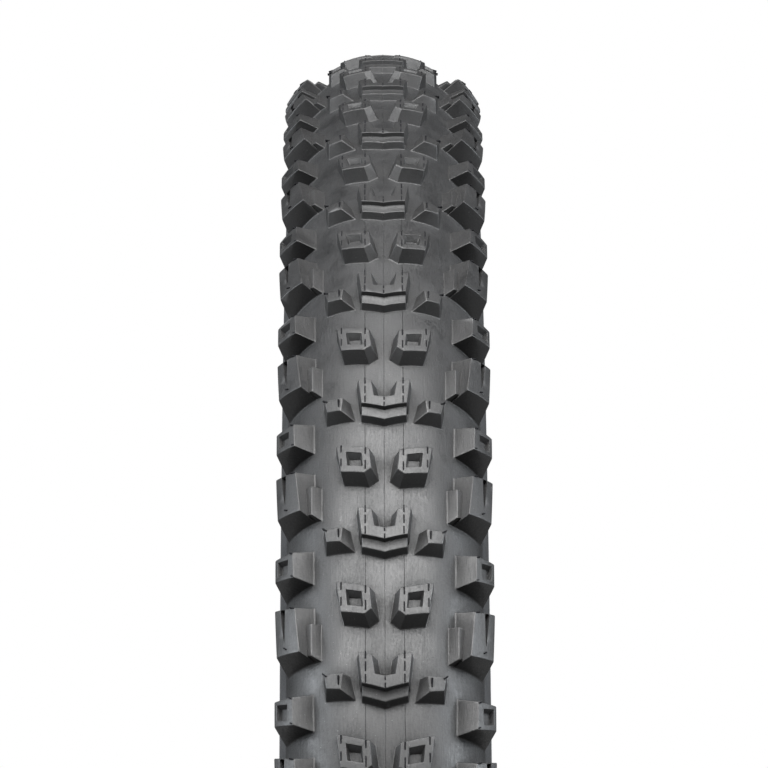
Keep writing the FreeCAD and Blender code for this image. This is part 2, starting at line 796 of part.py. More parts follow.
def make_hollow_shoulders():
    block = Block("shoulder_hollow_knobs_right", "hollow_behind", "shoulder_lean")
    outer = "shoulder_outer_v"
    outer_foot = "shoulder_outer_foot / 2"
    inner = "0 - hollow_inner_v"
    inner_foot = minus("shoulder_inner_foot")
    outline = [
        ("0 - hollow_rear_outer_x", outer, minus("hollow_rear_foot"), outer_foot),
        ("0 - hollow_rear_inner_x", inner, minus("hollow_rear_inner_foot"), inner_foot),
        ("hollow_front_inner_x", inner, "hollow_front_inner_foot", inner_foot),
        ("hollow_front_outer_x", outer, "hollow_front_foot", outer_foot),
    ]
    block.prism("shoulder_height", "shoulder_root_depth", outline)
    block.trim("shoulder_height")
    foot = "pocket_foot"
    back = minus(foot)
    mouth = [
        ("0 - pocket_rear_x - pocket_slant", "pocket_outer_v", foot, back),
        ("0 - pocket_rear_x + pocket_slant", "0 - pocket_inner_v", foot, foot),
        ("pocket_front_x + pocket_slant", "0 - pocket_inner_v", back, foot),
        ("pocket_front_x - pocket_slant", "pocket_outer_v", back, back),
    ]
    block.hollow("shoulder_height", "pocket_depth", mouth)
    return both_sides("shoulder_hollow_knobs", block.repeat())


def make_long_shoulders():
    block = Block("shoulder_long_knobs_right", "long_behind", "shoulder_lean")
    end_foot = "step_end_foot"
    inner_foot = minus("step_inner_foot")
    block.lean = "step_lean"
    step = [
        ("0 - step_rear_x", "step_outer_v", minus(end_foot), "0"),
        ("0 - step_rear_x", "0 - step_inner_v", minus(end_foot), inner_foot),
        ("step_front_x", "0 - step_inner_v", end_foot, inner_foot),
        ("step_front_x", "step_outer_v", end_foot, "0"),
    ]
    block.prism("step_height", "trim_depth", step)
    block.trim("step_height")
    block.lean = "shoulder_lean"
    outer_foot = "shoulder_outer_foot / 2"
    rear_inner = ("0 - long_rear_inner_x", "0 - long_inner_rear_v")
    rear_inner_foot = (minus("long_rear_inner_foot"), minus("shoulder_inner_foot"))
    outline = [
        ("0 - long_rear_outer_x", "shoulder_outer_v", minus("long_rear_foot"), outer_foot),
        rear_inner + rear_inner_foot,
        ("long_front_inner_x", "0 - long_inner_front_v", "long_front_inner_foot", "0"),
        ("long_front_outer_x", "long_front_outer_v", "long_front_foot", outer_foot),
    ]
    block.prism("shoulder_height", "shoulder_root_depth", outline)
    block.trim("shoulder_height")
    slit = [
        ("0 - slit_mouth_back", "slit_mouth_half", "0", "0"),
        ("0 - slit_mouth_back", "0 - slit_mouth_half", "0", "0"),
        ("slit_tip_x", "0", "0", "0"),
    ]
    block.hollow("shoulder_height", "slit_depth", slit)
    return both_sides("shoulder_long_knobs", block.repeat())


def faults(node, part):
    """Anything wrong with a finished part, as text."""
    found = [state for state in part.State if state in ("Invalid", "Error")]
    if part.Shape.isNull():
        return found + ["no shape"]
    if not part.Shape.isValid():
        found.append("shape is not valid")
    return found


def main():
    fill_sheet()
    parts = {}
    for make in (
        make_casing,
        make_crown,
        make_sides,
        make_beads,
        make_chevrons,
        make_squares,
        make_transitions,
        make_hollow_shoulders,
        make_long_shoulders,
    ):
        parts |= make()
    doc.recompute()
    os.makedirs("parts", exist_ok=True)
    for node, part in parts.items():
        problems = faults(node, part)
        if problems:
            raise RuntimeError(f"{node}: {problems}")
        part.Shape.exportStep(f"parts/{node}.step")
        print(node, len(part.Shape.Solids), round(part.Shape.Volume))
    for item in doc.Objects:
        if "Invalid" in item.State or "Error" in item.State:
            raise RuntimeError(f"{item.Label}: {item.State}")


main()
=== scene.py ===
"""Looks for the off-road bicycle tire: tread blocks, base skin, sidewalls, beads and layers.

Shapes are worked out in millimetres and written to the meshes in metres. A tread block is
drawn in its own tangent frame: x runs forward, v runs outward across the tyre and z is the
height above the base surface, which is a tube bent round the wheel. The block leans outward
from the crown by its lean angle.
"""
import math

import bmesh
import bpy
import numpy as np
from mathutils import Matrix, Vector


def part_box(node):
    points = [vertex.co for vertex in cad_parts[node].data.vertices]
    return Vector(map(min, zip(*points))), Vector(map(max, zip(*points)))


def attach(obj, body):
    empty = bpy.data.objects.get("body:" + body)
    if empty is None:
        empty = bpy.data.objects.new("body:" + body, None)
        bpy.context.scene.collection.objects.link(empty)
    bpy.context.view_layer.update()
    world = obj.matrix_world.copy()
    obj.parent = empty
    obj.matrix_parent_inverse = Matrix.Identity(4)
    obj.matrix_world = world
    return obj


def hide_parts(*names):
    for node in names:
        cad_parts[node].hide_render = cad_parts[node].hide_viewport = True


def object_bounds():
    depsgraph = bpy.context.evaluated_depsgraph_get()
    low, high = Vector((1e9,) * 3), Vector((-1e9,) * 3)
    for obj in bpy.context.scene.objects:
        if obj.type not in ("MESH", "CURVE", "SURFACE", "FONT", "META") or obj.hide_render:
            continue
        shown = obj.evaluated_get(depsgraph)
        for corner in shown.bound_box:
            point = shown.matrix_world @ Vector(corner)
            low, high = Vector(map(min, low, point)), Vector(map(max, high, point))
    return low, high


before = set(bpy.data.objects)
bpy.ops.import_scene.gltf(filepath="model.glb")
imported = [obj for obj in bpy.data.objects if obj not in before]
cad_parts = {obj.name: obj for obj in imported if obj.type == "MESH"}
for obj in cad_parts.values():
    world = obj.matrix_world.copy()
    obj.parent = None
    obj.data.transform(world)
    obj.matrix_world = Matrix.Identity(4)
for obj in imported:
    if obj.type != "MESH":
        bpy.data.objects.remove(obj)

MM = 0.001
CAD_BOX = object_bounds()

# ---------------------------------------------------------------- sizes from the frame

BLOCK_HEIGHT = 4.0  # of the blocks in the middle
PITCHES = 48
PATTERN_LEAD = 1.059  # degrees that the first chevron's ledge is ahead of the wheel's top
PATTERN_SKEW = 0.03  # how much the right side of the pattern is ahead, per unit across
chevron_low, chevron_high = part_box("centre_chevron_blocks")
CROWN_RADIUS = round((chevron_high.x - chevron_low.x) / 2 / MM, 1)
TUBE_RADIUS = round(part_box("sidewall_rubber_right")[1].y / MM, 1)
TUBE_CENTRE = CROWN_RADIUS - BLOCK_HEIGHT - TUBE_RADIUS  # radius of the tube's centre line

# ---------------------------------------------------------------- block building

SINK = 0.5  # depth of a block's root under the base surface
ROOT_CORNER = 0.8
FOOT_FILLET = 0.22
EDGE_RADIUS = 0.22
CORNER_RADIUS = 0.3
CORNER_STEPS = 3
LARGEST_CORNER_SHARE = 0.4  # of the shorter side beside a corner, for its rounding
LARGEST_COSINE = 0.999  # keeps corners that are nearly straight or folded back usable
FOOT_TURNS = (90, 60, 30, 0)  # where the rings of a rounding lie, in degrees of its arc
EDGE_TURNS = (0, 30, 60, 90)
MOUTH_TURNS = (90, 45, 0)
FLOOR_TURNS = (0, 45, 90)
SHOULDER_FILLET = 0.35
MOUTH_RADIUS = 0.15
FLOOR_RADIUS = 0.25
SLIT_RADIUS = 0.03
CELL = 1.5  # size of the pieces that a block is cut into so that it can bend
LEDGE_CELL = 0.6
BENDING_STEPS = 8


def is_anticlockwise(points):
    """True if the outline's outside is on the right of each of its sides."""
    x, y = points[:, 0], points[:, 1]
    area = np.sum(x * np.roll(y, -1) - y * np.roll(x, -1))
    return area > 0


def offset_outline(points, distance):
    """Move every side of an anticlockwise outline outward, keeping its corners sharp."""
    side = np.roll(points, -1, axis=0) - points
    side /= np.linalg.norm(side, axis=1)[:, None]
    normal = np.stack([side[:, 1], -side[:, 0]], axis=1)
    before = np.roll(normal, 1, axis=0)
    share = 1 + np.sum(before * normal, axis=1)
    return points + (before + normal) / share[:, None] * distance


def round_outline(points, radius):
    """Replace each corner by a short curve."""
    before = np.roll(points, 1, axis=0) - points
    after = np.roll(points, -1, axis=0) - points
    before_length = np.linalg.norm(before, axis=1)
    after_length = np.linalg.norm(after, axis=1)
    before /= before_length[:, None]
    after /= after_length[:, None]
    cosine = np.clip(np.sum(before * after, axis=1), -LARGEST_COSINE, LARGEST_COSINE)
    cut = radius / np.tan(np.arccos(cosine) / 2)
    longest = LARGEST_CORNER_SHARE * np.minimum(before_length, after_length)
    cut = np.minimum(cut, longest)[:, None]
    rounded = []
    for step in range(CORNER_STEPS + 1):
        t = step / CORNER_STEPS
        near = points + before * cut
        far = points + after * cut
        rounded.append((1 - t) ** 2 * near + 2 * t * (1 - t) * points + t**2 * far)
    return np.stack(rounded, axis=1).reshape(-1, 2)


class Shell:
    """A closed prism with sloped walls, a filleted foot, a rounded top edge and pockets.

    Corners are (x, v, foot x, foot v): a corner's place on top, and how far it has moved
    when it reaches the base surface.
    """

    def __init__(self, corners, height, fillet=FOOT_FILLET):
        corners = np.array(corners, float)
        if not is_anticlockwise(corners[:, :2]):
            corners = corners[::-1]
        self.top = corners[:, :2]
        self.foot = corners[:, 2:]
        self.height = height
        self.fillet = fillet
        self.bm = bmesh.new()

    def wall(self, z):
        """The sharp outline of the sloped walls at a height."""
        return self.top + self.foot * (1 - z / self.height)

    def ring(self, outline, z, radius):
        """Vertices on an outline with its corners rounded."""
        points = round_outline(outline, radius)
        return [self.bm.verts.new((x, v, z)) for x, v in points]

    def join(self, first, second):
        """Faces between two rings of the same count."""
        count = len(first)
        for index in range(count):
            following = (index + 1) % count
            self.bm.faces.new(
                (first[index], first[following], second[following], second[index])
            )

    def build(self, pockets=()):
        """The closed mesh; each pocket is what the pocket method takes."""
        root = offset_outline(self.wall(0), self.fillet)
        rings = [self.ring(root, -SINK, ROOT_CORNER)]
        for turn in FOOT_TURNS:
            grow = self.fillet * (1 - math.cos(math.radians(turn)))
            z = self.fillet * (1 - math.sin(math.radians(turn)))
            outline = offset_outline(self.wall(z), grow)
            rings.append(self.ring(outline, z, CORNER_RADIUS + grow))
        for turn in EDGE_TURNS:
            shrink = EDGE_RADIUS * (1 - math.cos(math.radians(turn)))
            z = self.height - EDGE_RADIUS * (1 - math.sin(math.radians(turn)))
            outline = offset_outline(self.wall(z), -shrink)
            rings.append(self.ring(outline, z, CORNER_RADIUS))
        for first, second in zip(rings, rings[1:]):
            self.join(first, second)
        self.bm.faces.new(rings[0][::-1])
        mouths = [self.pocket(*pocket) for pocket in pockets]
        if mouths:
            self.fill([rings[-1]] + mouths)
        else:
            self.bm.faces.new(rings[-1])
        return self.bm

    def fill(self, loops):
        """Close the top between the outer edge and the pockets' mouths."""
        edges = []
        for loop in loops:
            for pair in zip(loop, loop[1:] + loop[:1]):
                edges.append(self.bm.edges.get(pair))
        bmesh.ops.triangle_fill(
            self.bm, edges=edges, use_beauty=True, use_dissolve=False, normal=(0, 0, 1)
        )

    def pocket(self, mouth, floor, depth, edge=MOUTH_RADIUS, fillet=FLOOR_RADIUS):
        """Walls and floor of a pocket; the mouth and floor outlines match in order."""
        mouth = np.array(mouth, float)
        floor = np.array(floor, float)
        if not is_anticlockwise(mouth):
            mouth = mouth[::-1]
            floor = floor[::-1]
        rings = []
        for turn in MOUTH_TURNS:
            grow = edge * (1 - math.cos(math.radians(turn)))
            z = self.height - edge * (1 - math.sin(math.radians(turn)))
            rings.append(self.ring(offset_outline(mouth, grow), z, CORNER_RADIUS))
        for turn in FLOOR_TURNS:
            shrink = fillet * (1 - math.cos(math.radians(turn)))
            z = self.height - depth + fillet * (1 - math.sin(math.radians(turn)))
            rings.append(self.ring(offset_outline(floor, -shrink), z, CORNER_RADIUS))
        for first, second in zip(rings, rings[1:]):
            self.join(first, second)
        self.bm.faces.new(rings[-1])
        return rings[0]


def cells(bm, size=CELL):
    """Cut a shell into small cells so that it can bend round the tyre."""
    points = np.array([v.co[:] for v in bm.verts])
    for axis in (0, 1):
        low, high = points[:, axis].min(), points[:, axis].max()
        count = max(1, round((high - low) / size))
        for index in range(1, count):
            where = Vector((0, 0, 0))
            where[axis] = low + (high - low) * index / count
            normal = Vector((0, 0, 0))
            normal[axis] = 1
            geometry = bm.verts[:] + bm.edges[:] + bm.faces[:]
            bmesh.ops.bisect_plane(bm, geom=geometry, plane_co=where, plane_no=normal)
    return bm


def on_tyre(points, lean):
    """Carry (x, v, z) onto the base tube at the top of the wheel, in the wheel's frame."""
    x, v, z = points.T
    level = TUBE_RADIUS + z
    sine, cosine = math.sin(math.radians(lean)), math.cos(math.radians(lean))
    reach = level.copy()
    for _ in range(BENDING_STEPS):
        across = reach * sine + v * cosine
        up = TUBE_CENTRE + reach * cosine - v * sine
        reach += level - np.hypot(across, np.hypot(x, up) - TUBE_CENTRE)
    return np.stack([x, across, up], axis=1)


def turned(points, degrees):
    """Turn points forward about the axle."""
    c, s = math.cos(math.radians(degrees)), math.sin(math.radians(degrees))
    x, y, z = points.T
    return np.stack([x * c + z * s, y, z * c - x * s], axis=1)


def mesh_from_arrays(name, coordinates, loops, totals):
    """A smooth-shaded mesh from points in mm, its faces' corners and their counts."""
    mesh = bpy.data.meshes.new(name)
    mesh.vertices.add(len(coordinates))
    mesh.vertices.foreach_set("co", (coordinates * MM).astype(np.float32).ravel())
    mesh.loops.add(len(loops))
    mesh.loops.foreach_set("vertex_index", loops.astype(np.int32))
    mesh.polygons.add(len(totals))
    starts = np.concatenate([[0], np.cumsum(totals)[:-1]])
    mesh.polygons.foreach_set("loop_start", starts.astype(np.int32))
    mesh.polygons.foreach_set("loop_total", totals.astype(np.int32))
    mesh.polygons.foreach_set("use_smooth", np.ones(len(totals), bool))
    mesh.update(calc_edges=True)
    mesh.validate()
    return mesh


class Pattern:
    """Small meshes repeated round the tyre and gathered into one."""

    def __init__(self):
        self.points, self.loops, self.sizes = [], [], []
        self.count = 0

    def add(self, points, faces, angles):
        """Take copies of a mesh that stands at the wheel's top, turned by each angle."""
        flat = np.array([index for face in faces for index in face])
        for angle in angles:
            self.points.append(turned(points, angle))
            self.loops.append(flat + self.count)
            self.sizes.append([len(face) for face in faces])
            self.count += len(points)

    def mesh(self, name):
        arrays = (self.points, self.loops, self.sizes)
        return mesh_from_arrays(name, *(np.concatenate(array) for array in arrays))


SHARP_EDGE = 38  # degrees between faces
WEIGHT_OF_LARGE_FACES = 80


def finish_piece(name, mesh, material, node=None, sharp=SHARP_EDGE):
    """Put a mesh in the scene as a piece that rides on the tyre."""
    mesh.set_sharp_from_angle(angle=math.radians(sharp))
    mesh.materials.append(material)
    piece = bpy.data.objects.new(name, mesh)
    bpy.context.scene.collection.objects.link(piece)
    weighted = piece.modifiers.new("weighted", "WEIGHTED_NORMAL")
    weighted.keep_sharp = True
    weighted.weight = WEIGHT_OF_LARGE_FACES
    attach(piece, "root")
    if node:
        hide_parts(node)
    return piece


def ring_object(name, parts, side, material, node=None):
    """One object from blocks repeated round the tyre, on the right for side 1.

    Each part is (bmesh, (lean, arc ahead of the chevron's ledge)).
    """
    pattern = Pattern()
    for bm, (lean, ahead) in parts:
        bm.normal_update()
        bmesh.ops.recalc_face_normals(bm, faces=bm.faces)
        bm.verts.index_update()
        local = on_tyre(np.array([v.co[:] for v in bm.verts]), lean)
        faces = [[v.index for v in face.verts] for face in bm.faces]
        if side < 0:
            local[:, 1] *= -1
            faces = [face[::-1] for face in faces]
        across = (TUBE_RADIUS + BLOCK_HEIGHT) * math.sin(math.radians(lean))
        skew = side * PATTERN_SKEW * across
        start = PATTERN_LEAD + math.degrees((ahead + skew) / CROWN_RADIUS)
        angles = [start + pitch * 360 / PITCHES for pitch in range(PITCHES)]
        pattern.add(local, faces, angles)
        bm.free()
    return finish_piece(name, pattern.mesh(name), material, node)


# ---------------------------------------------------------------- materials

DUST = (0.18, 0.18, 0.18)
OPENNESS_SAMPLES = 4
# Distances in metres.
# How far the painted shade in corners looks for rubber that closes them in.
CORNER_REACH = 0.009
LINE_HALF_WIDTH = 0.00008
STREAK_DEPTH = 0.00012
GRAIN_DEPTH = 0.00008
# Noise scales, per metre.
CLOUD_SCALE = 110.0
STREAK_SCALES = (200.0, 2400.0, 2400.0)
GRAIN_SCALE = 1500.0
SPECK_SCALE = 2400.0
FUZZ_SCALE = 1800.0
LAYER_CLOUD_SCALE = 45.0
# Ranges over which a noise or a geometry value takes effect.
NOISE_RANGE = (0.3, 0.7)
STREAK_RANGE = (0.35, 0.65)
EDGE_HIGHLIGHT_RANGE = (0.57, 0.7)
SPECK_RANGE = (0.75, 0.8)
NOOK_RANGE = (0.45, 0.98)
CORD_RANGE = (-0.2, 1.0)
# What each effect multiplies the plain colour by.
CLOUD_DARK, CLOUD_LIGHT = 0.8, 1.2
STREAK_LIGHT = 1.45
# The next value is the painted highlight on sharp edges.
EDGE_HIGHLIGHT_LIGHT = 6.0
# The next value is the painted shade in closed-in corners.
NOOK_PAINTED_SHADE = 0.3
# The next value is the painted shade along the grooves and the middle rib.
LINE_PAINTED_SHADE = 0.2
CORD_DARK, CORD_LIGHT = 0.6, 1.3
LAYER_CLOUD_DARK = 0.7
# How far an effect goes at most, from 0 to 1.
STREAK_SHARE = 0.5
LAYER_CLOUD_SHARE = 0.4
FUZZ_SHARES = (0.6, 1.0)
CORD_RELIEF = 0.5
FUZZ_RELIEF = 0.25
# How much the roughness changes.
CLOUD_SHEEN = 0.08
GRAIN_SHEEN = 0.09
STREAK_SHEEN = 0.04
NOOK_SHEEN = 0.45
FUZZ_SHEEN = 0.06


class Graph:
    """Short calls for building the nodes of one material."""

    def __init__(self, name, specular=0.5):
        self.material = bpy.data.materials.new(name)
        self.material.use_nodes = True
        self.tree = self.material.node_tree
        self.shader = self.tree.nodes["Principled BSDF"]
        self.shader.inputs["Specular IOR Level"].default_value = specular
        self.place = self.add("TexCoord").outputs["Object"]
        parts = self.add("SeparateXYZ")
        self.feed(parts.inputs["Vector"], self.place)
        x, self.across, z = parts.outputs
        self.arc = self.math("MULTIPLY", self.math("ARCTAN2", x, z), CROWN_RADIUS * MM)
        squares = self.math("ADD", self.math("MULTIPLY", x, x), self.math("MULTIPLY", z, z))
        self.radius = self.math("SQRT", squares)

    def add(self, kind):
        return self.tree.nodes.new("ShaderNode" + kind)

    def feed(self, socket, value):
        """Link a socket to another node's output, or give it a plain value."""
        if isinstance(value, bpy.types.NodeSocket):
            self.tree.links.new(value, socket)
        else:
            socket.default_value = value

    def math(self, operation, first, second=0.0):
        node = self.add("Math")
        node.operation = operation
        self.feed(node.inputs[0], first)
        self.feed(node.inputs[1], second)
        return node.outputs[0]

    def along(self, arc, across, radius):
        """The place on the tyre, stretched: scales per metre round it, across it and out."""
        node = self.add("CombineXYZ")
        for socket, value, scale in zip(
            node.inputs, (self.arc, self.across, self.radius), (arc, across, radius)
        ):
            self.feed(socket, self.math("MULTIPLY", value, scale))
        return node.outputs[0]

    def noise(self, vector, scale, detail=3.0):
        node = self.add("TexNoise")
        self.feed(node.inputs["Vector"], vector)
        self.feed(node.inputs["Scale"], scale)
        self.feed(node.inputs["Detail"], detail)
        return node.outputs["Fac"]

    def ramp(self, value, low, high, first=0.0, last=1.0):
        """A number that goes from first to last as the value goes from low to high."""
        node = self.add("MapRange")
        for name, number in zip(
            ("Value", "From Min", "From Max", "To Min", "To Max"),
            (value, low, high, first, last),
        ):
            self.feed(node.inputs[name], number)
        return node.outputs["Result"]

    def blend(self, share, first, second):
        """A colour between two, by a share of 0 to 1."""
        node = self.add("Mix")
        node.data_type = "RGBA"
        self.feed(node.inputs["Factor"], share)
        for name, value in (("A", first), ("B", second)):
            socket = next(i for i in node.inputs if i.name == name and i.type == "RGBA")
            self.feed(socket, (*value, 1.0) if isinstance(value, tuple) else value)
        return next(o for o in node.outputs if o.type == "RGBA")

    def stripe(self, place, half_width):
        """1 on a line round the tyre at this distance from the middle, on both sides."""
        distance = self.math("SUBTRACT", self.math("ABSOLUTE", self.across), place)
        return self.math("LESS_THAN", self.math("ABSOLUTE", distance), half_width)

    def openness(self, reach):
        """1 on an open surface, less in corners that neighbouring rubber closes in; it places
        painted shade.
        """
        node = self.add("AmbientOcclusion")
        node.samples = OPENNESS_SAMPLES
        node.inputs["Distance"].default_value = reach
        return node.outputs["AO"]

    def relief(self, height, strength, depth, below=None):
        node = self.add("Bump")
        node.inputs["Strength"].default_value = strength
        node.inputs["Distance"].default_value = depth
        self.feed(node.inputs["Height"], height)
        if below:
            self.feed(node.inputs["Normal"], below)
        return node.outputs["Normal"]

    def finish(self, colour, roughness, normal):
        self.feed(self.shader.inputs["Base Color"], colour)
        self.feed(self.shader.inputs["Roughness"], roughness)
        self.feed(self.shader.inputs["Normal"], normal)
        return self.material


def scaled(colour, share):
    return tuple(channel * share for channel in colour)


def rubber(
    name, colour, roughness, grain=0.35, lines=(), specks=0.5, edges=0.8, gloss=0.5, nook_shade_strength=0.6
):
    """Moulded rubber: streaks from the mould's turning, grain, dust, painted highlights on
    sharp edges and painted shade in corners.

    Lines are painted shade along grooves and ribs: (distance from the middle in metres,
    strength). The values from grain on are strengths too; edges sets the painted highlight on
    sharp edges.
    """
    graph = Graph(name, gloss)
    cloud = graph.noise(graph.place, CLOUD_SCALE, 6.0)
    streaks = graph.noise(graph.along(*STREAK_SCALES), 1.0)
    grains = graph.noise(graph.place, GRAIN_SCALE)

    tone = graph.ramp(cloud, *NOISE_RANGE)
    skin = graph.blend(tone, scaled(colour, CLOUD_DARK), scaled(colour, CLOUD_LIGHT))
    streaked = graph.ramp(streaks, *STREAK_RANGE, 0.0, STREAK_SHARE)
    skin = graph.blend(streaked, skin, scaled(colour, STREAK_LIGHT))
    # Painted highlight: sharp edges, found by pointiness, are lightened.
    sharpness = graph.add("NewGeometry").outputs["Pointiness"]
    painted_edge_highlight = graph.ramp(sharpness, *EDGE_HIGHLIGHT_RANGE, 0.0, edges)
    skin = graph.blend(painted_edge_highlight, skin, scaled(colour, EDGE_HIGHLIGHT_LIGHT))
    dusty = graph.ramp(graph.noise(graph.place, SPECK_SCALE, 1.0), *SPECK_RANGE, 0.0, specks)
    skin = graph.blend(dusty, skin, DUST)
    # Painted shade: colour darkened in corners that neighbouring rubber closes in; the same
    # mask also makes them rougher.
    nook_shade = graph.ramp(graph.openness(CORNER_REACH), *NOOK_RANGE, nook_shade_strength, 0.0)
    skin = graph.blend(nook_shade, skin, scaled(colour, NOOK_PAINTED_SHADE))
    # Painted shade: dark stripes along the grooves and the middle rib.
    for place, strength in lines:
        line_shade = graph.math("MULTIPLY", graph.stripe(place, LINE_HALF_WIDTH), strength)
        skin = graph.blend(line_shade, skin, scaled(colour, LINE_PAINTED_SHADE))

    sheen = graph.math(
        "ADD", graph.ramp(cloud, *NOISE_RANGE, -CLOUD_SHEEN, CLOUD_SHEEN), roughness
    )
    for value, change in ((grains, GRAIN_SHEEN), (streaks, -STREAK_SHEEN)):
        sheen = graph.math("ADD", sheen, graph.ramp(value, *NOISE_RANGE, -change, change))
    sheen = graph.math("ADD", sheen, graph.math("MULTIPLY", nook_shade, NOOK_SHEEN))
    normal = graph.relief(streaks, grain, STREAK_DEPTH)
    normal = graph.relief(grains, grain, GRAIN_DEPTH, normal)
    return graph.finish(skin, sheen, normal)


def woven(name, colour, roughness, pitch, angle, depth, sheen=0.0):
    """Cords laid at an angle on both sides of the rolling direction, under thin rubber.

    The pitch and the depth are in metres and the angle is in degrees.
    """
    graph = Graph(name)
    turn = math.radians(angle)
    height = graph.math("MULTIPLY", graph.radius, math.sin(turn))
    forward = graph.math("MULTIPLY", graph.arc, math.cos(turn))
    waves = []
    for lay in ("ADD", "SUBTRACT"):
        phase = graph.math("MULTIPLY", graph.math(lay, forward, height), 2 * math.pi / pitch)
        waves.append(graph.math("SINE", phase))
    cords = graph.math("MAXIMUM", *waves)
    fuzz = graph.noise(graph.place, FUZZ_SCALE)
    cloud = graph.noise(graph.place, LAYER_CLOUD_SCALE, 4.0)
    raised = graph.ramp(cords, *CORD_RANGE)
    share = graph.math("MULTIPLY", raised, graph.ramp(fuzz, *NOISE_RANGE, *FUZZ_SHARES))
    body = graph.blend(share, scaled(colour, CORD_DARK), scaled(colour, CORD_LIGHT))
    cloudy = graph.ramp(cloud, *NOISE_RANGE, 0.0, LAYER_CLOUD_SHARE)
    shade = graph.blend(cloudy, body, scaled(colour, LAYER_CLOUD_DARK))
    rough = graph.ramp(fuzz, *NOISE_RANGE, roughness - FUZZ_SHEEN, roughness + FUZZ_SHEEN)
    normal = graph.relief(cords, CORD_RELIEF, depth)
    normal = graph.relief(fuzz, FUZZ_RELIEF, GRAIN_DEPTH, normal)
    graph.shader.inputs["Sheen Weight"].default_value = sheen
    return graph.finish(shade, rough, normal)


GROOVE_ACROSS = 5.45  # of the fine line on each side of the middle

# Rubbers get a painted highlight on sharp edges and painted shade in corners unless those
# strengths are 0.
TREAD = rubber("tread_rubber", (0.0112, 0.0112, 0.0114), 0.46)
# The base gets painted shade along its grooves and middle rib, and its strongest painted shade
# in corners.
BASE = rubber(
    "tread_base_rubber",
    (0.0095, 0.0097, 0.0101),
    0.43,
    grain=0.32,
    lines=((GROOVE_ACROSS * MM, 0.5), (0.0, 0.2)),
    edges=0.0,
    nook_shade_strength=1.0,
)
# Flash rubber, coloured darker as painted shade, matt and with little gloss.
FLASH_PAINTED_SHADE = rubber(
    "mould_flash_painted_shade", (0.006, 0.006, 0.007), 0.8, specks=0.0, edges=0.0, gloss=0.08
)
SIDE = rubber("sidewall_skin_rubber", (0.026, 0.027, 0.029), 0.52, specks=0.2)
CHAFER = woven("chafer_fabric_rubber", (0.024, 0.024, 0.026), 0.6, 0.0011, 45, 0.00012)
LINER = woven("liner_bladder_rubber", (0.045, 0.045, 0.047), 0.42, 0.006, 30, 0.0003)
PLY = woven("ply_cord_fabric", (0.11, 0.1, 0.085), 0.8, 0.0006, 45, 0.0001, 0.2)
BELT = woven("belt_cord_fabric", (0.2, 0.16, 0.08), 0.8, 0.0008, 60, 0.0001, 0.2)
CORE = woven("aramid_strands", (0.5, 0.38, 0.12), 0.65, 0.0005, 80, 0.0001, 0.3)
FILLER = rubber("bead_filler_rubber", (0.03, 0.03, 0.031), 0.6, specks=0.0)

# ---------------------------------------------------------------- tread blocks

SHOULDER_HEIGHT = 5.9
SHOULDER_LEAN = 52.5
TRANSITION_HEIGHT = 3.45
LEDGE_LIP = (-2.15, 6.4)  # the lip runs from the pattern's zero on the centre line to here
LEDGE_HEIGHT = 2.15
LEDGE_RISE = 0.6  # how far the ledge's top curves up to the block behind it
LEDGE_RUN = 3.3
LEDGE_WAIST = 1.0  # points above this height follow the curve
STEP_HEIGHT = 2.9
STEP_LEAN = 42.0

# Where each kind of block stands: its lean, and its arc ahead of the chevron's ledge.
CHEVRON_PLACE = (0, 0)
SQUARE_PLACE = (16.0, 16.0)
TRANSITION_PLACE = (26.0, -7.0)
HOLLOW_PLACE = (SHOULDER_LEAN, -1.0)
LONG_PLACE = (SHOULDER_LEAN, -27.0)
STEP_PLACE = (STEP_LEAN, -27.0)

SLIVER_HALF_WIDTH = 0.2
SLIVER_ROOT = 0.25
SLIVER_RISE = 0.1
SLIVER_TAPER = 0.08  # share of its length that the crest is shorter at each end
CHEVRON_TOP = BLOCK_HEIGHT - SLIVER_RISE  # so that the flash stays in the CAD model's box


def mirrored(corners):
    """Complete an outline that is given on the right of the centre line."""
    back = [(x, -v, fx, -fv) for x, v, fx, fv in corners if v != 0]
    return corners + back[::-1]


def slivers(lines, height):
    """Thin flash, darkened as painted shade, that mould joints left on top of a block: (x, v)
    to (x, v).

    A line may also give how high it stands at its two ends.
    """
    bm = bmesh.new()
    for x0, v0, x1, v1, *ends in lines:
        start, stop = np.array((x0, v0)), np.array((x1, v1))
        run = (stop - start) / np.linalg.norm(stop - start)
        aside = np.array((-run[1], run[0])) * SLIVER_HALF_WIDTH
        base = [start + aside, start - aside, stop - aside, stop + aside]
        low = [bm.verts.new((*point, height - SLIVER_ROOT)) for point in base]
        crest = [point + (start + stop - 2 * point) * SLIVER_TAPER for point in base]
        first, last = ends or (SLIVER_RISE, SLIVER_RISE)
        tops = [height + rise for rise in (first, first, last, last)]
        high = [bm.verts.new((*point, top)) for point, top in zip(crest, tops)]
        bm.faces.new(low)
        bm.faces.new(high)
        for index in range(4):
            following = (index + 1) % 4
            bm.faces.new((low[index], low[following], high[following], high[index]))
    return bm


